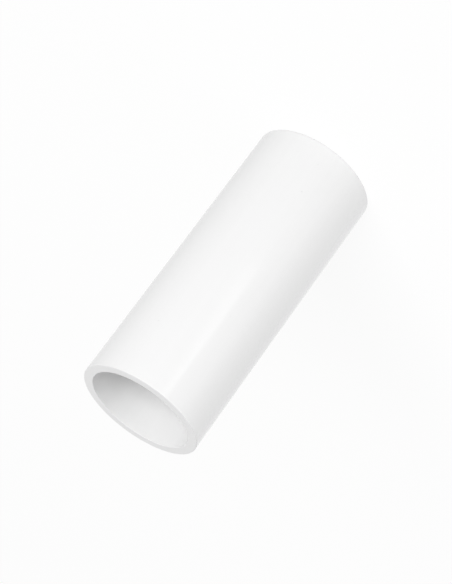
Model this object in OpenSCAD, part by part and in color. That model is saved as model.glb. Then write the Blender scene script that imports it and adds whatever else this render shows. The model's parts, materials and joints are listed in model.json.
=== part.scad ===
// Valve connector: a short, plain tube of white PVC pressure pipe.
// It is cut square at both ends, and every cut edge is eased to a small radius.
// The tube stands on one cut end, with its axis along Z. Sizes are in millimetres.

/* [Tube] */
// Outside diameter, which enters the socket of a valve
outside_d = 48.3; // [26:0.1:114]
// Thickness of the wall
wall = 3.8; // [2.2:0.1:8]
// Length from one cut end to the other
tube_length = 119; // [60:0.5:300]

/* [Cut edges] */
// Radius of the outer edge at each end
outer_edge_r = 0.3; // [0.2:0.1:1.2]
// Radius of the inner edge at each end
inner_edge_r = 0.1; // [0.1:0.1:0.9]

/* [Hidden] */
outside_r = outside_d / 2;
bore_r = outside_r - wall;
// How far a cutting shape runs past the face that it cuts
overrun = 1;
$fn = 144;

// What easing takes off a square corner that points down and left from the origin.
module corner_waste(edge_r) {
    difference() {
        translate([-overrun, -overrun]) square(edge_r + overrun);
        translate([edge_r, edge_r]) circle(edge_r);
    }
}

// The two eased corners of one cut end, across the wall.
module cut_end_waste() {
    translate([bore_r, 0]) corner_waste(inner_edge_r);
    translate([outside_r, 0]) mirror([1, 0]) corner_waste(outer_edge_r);
}

// Half section of the wall, with the axis at X = 0.
module wall_section() {
    difference() {
        translate([bore_r, 0]) square([wall, tube_length]);
        cut_end_waste();
        translate([0, tube_length]) mirror([0, 1]) cut_end_waste();
    }
}

// The tube is one extruded piece, so it is one turned section.
module tube() {
    color("whitesmoke") rotate_extrude() wall_section();
}

tube();
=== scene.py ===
import bpy
import json
import math
from mathutils import Matrix, Vector


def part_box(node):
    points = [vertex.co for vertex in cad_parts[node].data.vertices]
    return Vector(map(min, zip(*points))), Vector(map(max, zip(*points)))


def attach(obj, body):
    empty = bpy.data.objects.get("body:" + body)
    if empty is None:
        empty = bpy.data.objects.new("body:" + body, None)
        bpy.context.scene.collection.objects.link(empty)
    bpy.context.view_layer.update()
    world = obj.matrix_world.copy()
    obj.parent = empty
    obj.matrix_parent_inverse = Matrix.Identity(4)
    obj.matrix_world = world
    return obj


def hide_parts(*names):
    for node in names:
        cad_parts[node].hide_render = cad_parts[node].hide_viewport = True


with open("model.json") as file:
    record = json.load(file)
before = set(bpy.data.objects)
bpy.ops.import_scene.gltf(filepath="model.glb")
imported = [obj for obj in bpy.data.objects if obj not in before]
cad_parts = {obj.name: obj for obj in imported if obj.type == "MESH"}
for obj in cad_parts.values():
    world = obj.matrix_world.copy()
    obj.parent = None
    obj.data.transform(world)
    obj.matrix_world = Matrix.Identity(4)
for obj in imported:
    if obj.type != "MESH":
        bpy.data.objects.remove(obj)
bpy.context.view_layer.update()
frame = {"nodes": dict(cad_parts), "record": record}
mm = 0.001
print("frame loaded:", ", ".join(frame["nodes"]))


# Camera. A long lens looks down on the standing tube, and is rolled until the top end lies at the lower left.
view = {
    "lens": 135.4,                         # mm, on a sensor of 36 mm along the picture's long side
    "sensor": 36.0,
    "distance": 808.8 * mm,                # from the point that it aims at
    "elevation": 25.39,                    # degrees above the floor
    "roll": -143.62,                       # degrees about the line of sight
    "aim": (0.30 * mm, 0.0, 61.16 * mm),   # beside the axis, near half height
    "clip": (10 * mm, 100.0),              # nearest and farthest that it sees
}


def facing(outwards):
    # How a camera or lamp is turned that stands on this side of its target and looks back at it
    return outwards.to_track_quat("Z", "Y").to_matrix().to_4x4()


def placeCamera():
    rise = math.radians(view["elevation"])
    outwards = Vector((0, -math.cos(rise), math.sin(rise)))
    place = Vector(view["aim"]) + outwards * view["distance"]
    roll = Matrix.Rotation(math.radians(view["roll"]), 4, "Z")
    bpy.ops.object.camera_add()
    camera = bpy.context.object
    camera.name = "longLens"
    camera.data.lens = view["lens"]
    camera.data.sensor_width = view["sensor"]
    camera.data.clip_start, camera.data.clip_end = view["clip"]
    camera.matrix_world = Matrix.Translation(place) @ facing(outwards) @ roll
    bpy.context.scene.camera = camera


placeCamera()
print("camera placed")


# Shared helpers for the materials
def hexColour(code):
    channels = [int(code[i:i + 2], 16) / 255 for i in (1, 3, 5)]
    linear = [c / 12.92 if c <= 0.04045 else ((c + 0.055) / 1.055) ** 2.4 for c in channels]
    return (*linear, 1)


def addNode(tree, kind, settings=None, links=None):
    node = tree.nodes.new(kind)
    for name, value in (settings or {}).items():
        if isinstance(name, int) or name in node.inputs:
            node.inputs[name].default_value = value
        else:
            setattr(node, name, value)
    for socket, source in (links or {}).items():
        tree.links.new(source, node.inputs[socket])
    return node


def newMaterial(name):
    material = bpy.data.materials.new(name)
    material.use_nodes = True
    material.node_tree.nodes.clear()
    return material, material.node_tree


# Rigid PVC, extruded: a dense, neutral white plastic. The die gives it a low, even gloss and faint lines
# along the tube, and the compound holds a few tiny grey specks.
outsideFinish = {
    "name": "rigidPvcExtruded",
    "colour": "#F1F1F1",
    "streakColour": "#EFEFEF",    # where the compound is a touch greyer
    "speckColour": "#E8E8E8",
    "ior": 1.53,
    "roughness": 0.11,
    "roughnessSwing": 0.02,
    "mattness": 0.0,              # diffuse roughness
    "lineSpacing": 1.6 * mm,      # round the wall, between two die lines
    "lineSqueeze": 0.012,         # of the noise along Z, which draws it out into lines
    "lineHeight": 0.0009 * mm,
    "speckSpacing": 9.5 * mm,     # between the middles of the cells that hold one speck each
    "speckRadius": 0.45 * mm,     # real ones are smaller, and wouldn't show at this size
    "speckCore": 0.4,             # of its radius, fully grey
}

# Rigid PVC, extruded over a mandrel: the same plastic in the bore, duller and with broader lines.
boreFinish = {
    **outsideFinish,
    "name": "rigidPvcBore",
    "colour": "#EFEFEF",
    "streakColour": "#EBEBEB",
    "roughness": 0.30,
    "roughnessSwing": 0.04,
    "mattness": 0.22,             # keeps the bore light where it is seen at a slant
    "lineSpacing": 2.2 * mm,
    "lineHeight": 0.002 * mm,
    "speckSpacing": 11 * mm,
    "speckRadius": 0.35 * mm,
}


def extrudedPvc(finish):
    material, tree = newMaterial(finish["name"])
    place = addNode(tree, "ShaderNodeTexCoord").outputs["Object"]
    # Squeezed along Z, the noise becomes long lines and has no seam round the tube
    along = addNode(tree, "ShaderNodeMapping", {"Scale": (1, 1, finish["lineSqueeze"])}, {"Vector": place})
    lines = addNode(tree, "ShaderNodeTexNoise",
                    {"Scale": 1 / finish["lineSpacing"], "Detail": 2.0, "Roughness": 0.6},
                    {"Vector": along.outputs["Vector"]})
    tint = addNode(tree, "ShaderNodeMix",
                   {"data_type": "RGBA", 6: hexColour(finish["colour"]),
                    7: hexColour(finish["streakColour"])},
                   {0: lines.outputs["Fac"]})
    specks = addNode(tree, "ShaderNodeTexVoronoi", {"Scale": 1 / finish["speckSpacing"]}, {"Vector": place})
    reach = finish["speckRadius"] / finish["speckSpacing"]
    inSpeck = addNode(tree, "ShaderNodeMapRange",
                      {"interpolation_type": "SMOOTHSTEP", "From Min": finish["speckCore"] * reach,
                       "From Max": reach, "To Min": 1.0, "To Max": 0.0},
                      {"Value": specks.outputs["Distance"]})
    colour = addNode(tree, "ShaderNodeMix",
                     {"data_type": "RGBA", 7: hexColour(finish["speckColour"])},
                     {0: inSpeck.outputs["Result"], 6: tint.outputs[2]})
    gloss = addNode(tree, "ShaderNodeMapRange",
                    {"To Min": finish["roughness"] - finish["roughnessSwing"],
                     "To Max": finish["roughness"] + finish["roughnessSwing"]},
                    {"Value": lines.outputs["Fac"]})
    relief = addNode(tree, "ShaderNodeBump",
                     {"Strength": 1.0, "Distance": finish["lineHeight"]},
                     {"Height": lines.outputs["Fac"]})
    surface = addNode(tree, "ShaderNodeBsdfPrincipled",
                      {"IOR": finish["ior"], "Diffuse Roughness": finish["mattness"]},
                      {"Base Color": colour.outputs[2], "Roughness": gloss.outputs["Result"],
                       "Normal": relief.outputs["Normal"]})
    addNode(tree, "ShaderNodeOutputMaterial", None, {"Surface": surface.outputs["BSDF"]})
    return material


# Rigid PVC, cut and deburred: the cutter leaves fine rings and a dull, even white that mirrors nothing.
cutFinish = {
    "name": "rigidPvcCut",
    "colour": "#EEEEEE",
    "dustColour": "#EAEAEA",
    "ior": 1.53,
    "roughness": 0.52,
    "roughnessSwing": 0.06,
    "ringSpacing": 0.45 * mm,     # real rings are about 0.15 mm apart, too fine to show
    "ringHeight": 0.006 * mm,
    "ringWander": 0.8,            # how far noise bends the rings
    "dustSpacing": 0.9 * mm,
}

# Rigid PVC, cut: the outer eased edges take the cut finish, painted greyer as painted shade that dims the
# bright line the key light draws along them.
paintedShadeEdgeFinish = {
    **cutFinish,
    "name": "rigidPvcScraped",
    "colour": "#E9E9E9",
    "dustColour": "#E6E6E6",
}


def cutPvc(finish):
    material, tree = newMaterial(finish["name"])
    place = addNode(tree, "ShaderNodeTexCoord").outputs["Object"]
    ringScale = math.tau / 20 / finish["ringSpacing"]  # at scale 1, rings repeat every tau / 20 metres
    rings = addNode(tree, "ShaderNodeTexWave",
                    {"wave_type": "RINGS", "rings_direction": "Z", "Scale": ringScale,
                     "Distortion": finish["ringWander"], "Detail": 2.0, "Detail Scale": 1.5},
                    {"Vector": place})
    dust = addNode(tree, "ShaderNodeTexNoise",
                   {"Scale": 1 / finish["dustSpacing"], "Detail": 3.0, "Roughness": 0.6}, {"Vector": place})
    tint = addNode(tree, "ShaderNodeMix",
                   {"data_type": "RGBA", 6: hexColour(finish["colour"]), 7: hexColour(finish["dustColour"])},
                   {0: dust.outputs["Fac"]})
    gloss = addNode(tree, "ShaderNodeMapRange",
                    {"To Min": finish["roughness"] - finish["roughnessSwing"],
                     "To Max": finish["roughness"] + finish["roughnessSwing"]},
                    {"Value": dust.outputs["Fac"]})
    relief = addNode(tree, "ShaderNodeBump",
                     {"Strength": 1.0, "Distance": finish["ringHeight"]},
                     {"Height": rings.outputs["Fac"]})
    surface = addNode(tree, "ShaderNodeBsdfPrincipled",
                      {"IOR": finish["ior"]},
                      {"Base Color": tint.outputs[2], "Roughness": gloss.outputs["Result"],
                       "Normal": relief.outputs["Normal"]})
    addNode(tree, "ShaderNodeOutputMaterial", None, {"Surface": surface.outputs["BSDF"]})
    return material


# The tube. Its section is drawn once, eased at its four corners, and spun about the axis.
mounts = {mount["name"]: mount for mount in frame["record"]["mounts"]}
tubeLow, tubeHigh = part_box("tube")


def easeOf(mountName):
    # A mount runs along the straight wall, and the two eased edges take up the rest of the length
    return (tubeHigh.z - mounts[mountName]["dims"]["length_mm"] * mm) / 2


tube = {
    "outerRadius": tubeHigh.x,
    "boreRadius": mounts["bore"]["dims"]["r_mm"] * mm,
    "length": tubeHigh.z,
    "outerEase": easeOf("spigot"),   # radius of the outer edges
    "innerEase": easeOf("bore"),     # radius of the inner edges
    "easeRows": 6,                   # rows of faces on each eased edge
    "wallRows": 24,                  # rows of faces from end to end
    "roundSteps": 256,               # faces round the tube
    "cutterMarks": 8,                # turned rings across each cut face
    "markDepth": 0.006 * mm,
    "smoothAngle": 30,               # degrees, below which two faces are shaded as one surface
}


def selectWhere(piece, items, test):
    bpy.ops.object.mode_set(mode="OBJECT")
    for group in (piece.data.vertices, piece.data.edges, piece.data.polygons):
        group.foreach_set("select", [False] * len(group))
    for item in getattr(piece.data, items):
        item.select = test(item)
    bpy.ops.object.mode_set(mode="EDIT")


def edgeMiddle(piece, edge):
    ends = [piece.data.vertices[i].co for i in edge.vertices]
    return (ends[0] + ends[1]) / 2


def makeTube(size):
    wall = size["outerRadius"] - size["boreRadius"]
    middle = size["boreRadius"] + wall / 2
    length = size["length"]
    small = 0.001 * mm
    bpy.ops.object.select_all(action="DESELECT")
    bpy.ops.mesh.primitive_plane_add(size=1, location=(middle, 0, length / 2), rotation=(math.pi / 2, 0, 0))
    piece = bpy.context.object
    piece.name = "tubeWall"
    piece.scale = (wall, length, 1)
    bpy.ops.object.transform_apply(location=True, rotation=True, scale=True)

    # Ease the outer corners, then the inner ones
    for side, ease in ((1, size["outerEase"]), (-1, size["innerEase"])):
        bpy.ops.object.mode_set(mode="EDIT")
        bpy.ops.mesh.select_mode(type="VERT")
        selectWhere(piece, "vertices", lambda v: abs(v.co.x - middle - side * wall / 2) < small)
        bpy.ops.mesh.bevel(offset=ease, segments=size["easeRows"], profile=0.5, affect="VERTICES")
    bpy.ops.mesh.select_all(action="SELECT")
    bpy.ops.mesh.delete(type="ONLY_FACE")

    # Rows of faces along the wall, and turned rings across each cut face
    bpy.ops.mesh.select_mode(type="EDGE")
    selectWhere(piece, "edges", lambda e: abs(edgeMiddle(piece, e).z - length / 2) < small)
    bpy.ops.mesh.subdivide(number_cuts=size["wallRows"] - 1)
    selectWhere(piece, "edges", lambda e: abs(abs(edgeMiddle(piece, e).z - length / 2) - length / 2) < small)
    bpy.ops.mesh.subdivide(number_cuts=2 * size["cutterMarks"] - 1)
    bpy.ops.mesh.select_mode(type="VERT")
    pitch = (wall - size["outerEase"] - size["innerEase"]) / size["cutterMarks"]
    flatStart = size["boreRadius"] + size["innerEase"]
    for end, inwards in ((0, 1), (length, -1)):
        selectWhere(piece, "vertices",  # at this end, half way across each ring
                    lambda v: abs(v.co.z - end) < small and abs((v.co.x - flatStart) / pitch % 1 - 0.5) < 0.1)
        bpy.ops.transform.translate(value=(0, 0, inwards * size["markDepth"]))

    # Spin the section, close the seam and shade it
    bpy.ops.mesh.select_all(action="SELECT")
    bpy.ops.mesh.spin(steps=size["roundSteps"], angle=math.tau, center=(0, 0, 0), axis=(0, 0, 1))
    bpy.ops.mesh.select_all(action="SELECT")
    bpy.ops.mesh.remove_doubles(threshold=small / 2)
    bpy.ops.mesh.normals_make_consistent(inside=False)
    bpy.ops.object.mode_set(mode="OBJECT")
    bpy.ops.object.shade_smooth_by_angle(angle=math.radians(size["smoothAngle"]))
    bpy.ops.object.modifier_add(type="WEIGHTED_NORMAL")
    bpy.ops.object.modifier_apply(modifier=piece.modifiers[0].name)
    return piece


def finishTube(piece, size):
    middle = (size["outerRadius"] + size["boreRadius"]) / 2
    wallEnd = max(size["outerEase"], size["innerEase"])
    flatEnd = size["outerRadius"] - size["outerEase"]

    def onWall(face):
        return wallEnd < face.center.z < size["length"] - wallEnd

    def across(face):
        return face.center.xy.length

    finishes = (
        (extrudedPvc(outsideFinish), lambda f: onWall(f) and across(f) > middle),
        (extrudedPvc(boreFinish), lambda f: onWall(f) and across(f) < middle),
        (cutPvc(cutFinish), lambda f: not onWall(f) and across(f) < flatEnd),
        # the outer eased edges get the cut finish with painted shade, greyer than the cut face
        (cutPvc(paintedShadeEdgeFinish), lambda f: not onWall(f) and across(f) > flatEnd),
    )
    bpy.ops.object.mode_set(mode="EDIT")
    bpy.ops.mesh.select_mode(type="FACE")
    for slot, (material, test) in enumerate(finishes):
        piece.data.materials.append(material)
        selectWhere(piece, "polygons", test)
        piece.active_material_index = slot
        bpy.ops.object.material_slot_assign()
    bpy.ops.object.mode_set(mode="OBJECT")


tubeWall = makeTube(tube)
finishTube(tubeWall, tube)
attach(tubeWall, "root")
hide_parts("tube")
print("tube made:", len(tubeWall.data.polygons), "faces")


# Floor and world. Both are plain white to the camera and to reflections, and the floor keeps a faint shadow.
# To matt surfaces the floor is a grey light table, which glows behind the tube on the left.
studio = {
    "floorSize": 8.0,
    "floorDrop": 0.02 * mm,    # below the tube's foot
    "paperColour": "#FFFFFF",
    "floorShare": 0.90,        # of plain white in what the camera sees of the floor
    "tableColour": "#939393",
    "glowLow": 0.12,           # on the darker side of the table
    "glowHigh": 0.79,          # on the brighter side
    "glowTowards": 225,        # where that side lies, in degrees from +X towards the camera
    "glowReach": 25 * mm,      # from the tube's axis to each end of the change
    "worldLevel": 0.44,        # what the world gives to matt surfaces
}


def whiteRays(tree):
    # 1 for what the camera sees straight, mirrored or through glass, and 0 for what lights a matt surface
    path = addNode(tree, "ShaderNodeLightPath")
    seen = addNode(tree, "ShaderNodeMath", {"operation": "MAXIMUM"},
                   {0: path.outputs["Is Camera Ray"], 1: path.outputs["Is Glossy Ray"]})
    return addNode(tree, "ShaderNodeMath", {"operation": "MAXIMUM"},
                   {0: seen.outputs[0], 1: path.outputs["Is Transmission Ray"]})


def makeFloor():
    bpy.ops.object.select_all(action="DESELECT")
    bpy.ops.mesh.primitive_plane_add(size=studio["floorSize"], location=(0, 0, -studio["floorDrop"]))
    floor = bpy.context.object
    floor.name = "floor"
    material, tree = newMaterial("paleFloor")
    seen = whiteRays(tree)
    place = addNode(tree, "ShaderNodeTexCoord").outputs["Object"]
    turned = addNode(tree, "ShaderNodeMapping", {"Rotation": (0, 0, math.radians(studio["glowTowards"]))},
                     {"Vector": place})
    across = addNode(tree, "ShaderNodeSeparateXYZ", None, {"Vector": turned.outputs["Vector"]})
    glow = addNode(tree, "ShaderNodeMapRange",
                   {"From Min": -studio["glowReach"], "From Max": studio["glowReach"],
                    "To Min": studio["glowLow"], "To Max": studio["glowHigh"]},
                   {"Value": across.outputs["X"]})
    unseen = addNode(tree, "ShaderNodeMath", {"operation": "SUBTRACT", 0: 1.0}, {1: seen.outputs[0]})
    strength = addNode(tree, "ShaderNodeMath", {"operation": "MULTIPLY"},
                       {0: glow.outputs["Result"], 1: unseen.outputs[0]})
    table = addNode(tree, "ShaderNodeEmission", None, {"Strength": strength.outputs[0]})
    tone = addNode(tree, "ShaderNodeMix",
                   {"data_type": "RGBA", 6: hexColour(studio["tableColour"]),
                    7: hexColour(studio["paperColour"])},
                   {0: seen.outputs[0]})
    matt = addNode(tree, "ShaderNodeBsdfDiffuse", None, {"Color": tone.outputs[2]})
    lit = addNode(tree, "ShaderNodeAddShader", None, {0: matt.outputs[0], 1: table.outputs[0]})
    white = addNode(tree, "ShaderNodeEmission", {"Strength": 1.0})
    share = addNode(tree, "ShaderNodeMath", {"operation": "MULTIPLY", 1: studio["floorShare"]},
                    {0: seen.outputs[0]})
    mix = addNode(tree, "ShaderNodeMixShader", None,
                  {0: share.outputs[0], 1: lit.outputs[0], 2: white.outputs[0]})
    addNode(tree, "ShaderNodeOutputMaterial", None, {"Surface": mix.outputs[0]})
    floor.data.materials.append(material)


def makeWorld():
    world = bpy.data.worlds.new("whiteRoom")
    bpy.context.scene.world = world
    world.use_nodes = True
    tree = world.node_tree
    tree.nodes.clear()
    seen = whiteRays(tree)
    level = addNode(tree, "ShaderNodeMapRange", {"To Min": studio["worldLevel"], "To Max": 1.0},
                    {"Value": seen.outputs[0]})
    light = addNode(tree, "ShaderNodeBackground", {"Color": hexColour(studio["paperColour"])},
                    {"Strength": level.outputs["Result"]})
    addNode(tree, "ShaderNodeOutputWorld", None, {"Surface": light.outputs[0]})


makeFloor()
makeWorld()
print("floor and world made")


# Soft lights. A level of 1 is as bright as white paper, so a large dim box lights as much as a small bright
# one. Azimuth is in degrees from +X towards the camera, elevation above the floor, and size in metres.
softLights = {
    "keySoftbox": {"azimuth": 65, "elevation": 33.5, "size": (2.9, 2.4), "level": 6.32},
    "lowLeftBox": {"azimuth": 159, "elevation": 1, "size": (1.8, 1.8), "level": 3.1},
}
lightDistance = 4.0  # far enough to light both ends alike


def addSoftLight(name, box):
    turn, rise = math.radians(box["azimuth"]), math.radians(box["elevation"])
    outwards = Vector((math.cos(turn) * math.cos(rise), -math.sin(turn) * math.cos(rise), math.sin(rise)))
    place = (tubeLow + tubeHigh) / 2 + outwards * lightDistance
    wide, high = box["size"]
    bpy.ops.object.light_add(type="AREA")
    lamp = bpy.context.object
    lamp.name = name
    lamp.data.shape = "RECTANGLE"
    lamp.data.size = wide
    lamp.data.size_y = high
    lamp.data.energy = box["level"] * math.pi * wide * high
    lamp.matrix_world = Matrix.Translation(place) @ facing(outwards)
    lamp.visible_camera = False


for name, box in softLights.items():
    addSoftLight(name, box)
print("lights placed")


# Bright cards lie on the floor before the tube. Only reflections see them, and their straight left sides
# draw the two edges of the gloss along the wall.
glossCards = {
    "brightCard": {
        "corner": (-4.7 * mm, -23.7 * mm),   # where the line of its left side meets the tube
        "turn": -22.5,                       # degrees about Z
        "near": 80 * mm,                     # from that corner to its near end
        "far": 350 * mm,
        "wide": 85 * mm,
        "level": 2.1,                        # along its left side, and 1 at its other sides, as the floor
        "fadeIn": 0.19,                      # of its length, from the near end to full level
    },
    "faintCard": {
        "corner": (-12.4 * mm, -20.7 * mm),
        "turn": -62.0,
        "near": 5 * mm,
        "far": 350 * mm,
        "wide": 110 * mm,
        "level": 1.2,
        "fadeIn": 0.1,
    },
}
cardHeight = 0.5 * mm  # above the floor, so that the two don't meet


def makeGlossCard(name, card):
    length = card["far"] - card["near"]
    corner = Vector((*card["corner"], cardHeight))
    turn = Matrix.Rotation(math.radians(card["turn"]), 4, "Z")
    middle = Vector((card["wide"] / 2, -(card["near"] + card["far"]) / 2, 0))
    size = Matrix.Diagonal((card["wide"], length, 1, 1))
    bpy.ops.object.select_all(action="DESELECT")
    bpy.ops.mesh.primitive_plane_add(size=1)
    piece = bpy.context.object
    piece.name = name
    piece.matrix_world = Matrix.Translation(corner) @ turn @ Matrix.Translation(middle) @ size
    material, tree = newMaterial(name + "Light")
    place = addNode(tree, "ShaderNodeTexCoord").outputs["Object"]
    local = addNode(tree, "ShaderNodeSeparateXYZ", None, {"Vector": place})
    # The card spans -0.5 to 0.5 each way, from its left side and from its near end at +0.5
    fromLeft = addNode(tree, "ShaderNodeMapRange",
                       {"From Min": -0.5, "From Max": 0.5, "To Min": 1.0, "To Max": 0.0},
                       {"Value": local.outputs["X"]})
    fromNear = addNode(tree, "ShaderNodeMapRange",
                       {"interpolation_type": "SMOOTHSTEP", "From Min": 0.5,
                        "From Max": 0.5 - card["fadeIn"]},
                       {"Value": local.outputs["Y"]})
    fade = addNode(tree, "ShaderNodeMath", {"operation": "MULTIPLY"},
                   {0: fromLeft.outputs["Result"], 1: fromNear.outputs["Result"]})
    level = addNode(tree, "ShaderNodeMapRange", {"To Min": 1.0, "To Max": card["level"]},
                    {"Value": fade.outputs[0]})
    light = addNode(tree, "ShaderNodeEmission", None, {"Strength": level.outputs["Result"]})
    addNode(tree, "ShaderNodeOutputMaterial", None, {"Surface": light.outputs[0]})
    piece.data.materials.append(material)
    piece.visible_camera = False
    piece.visible_diffuse = False
    piece.visible_shadow = False


for name, card in glossCards.items():
    makeGlossCard(name, card)
print("gloss cards made")


bpy.context.scene.view_settings.view_transform = "Standard"
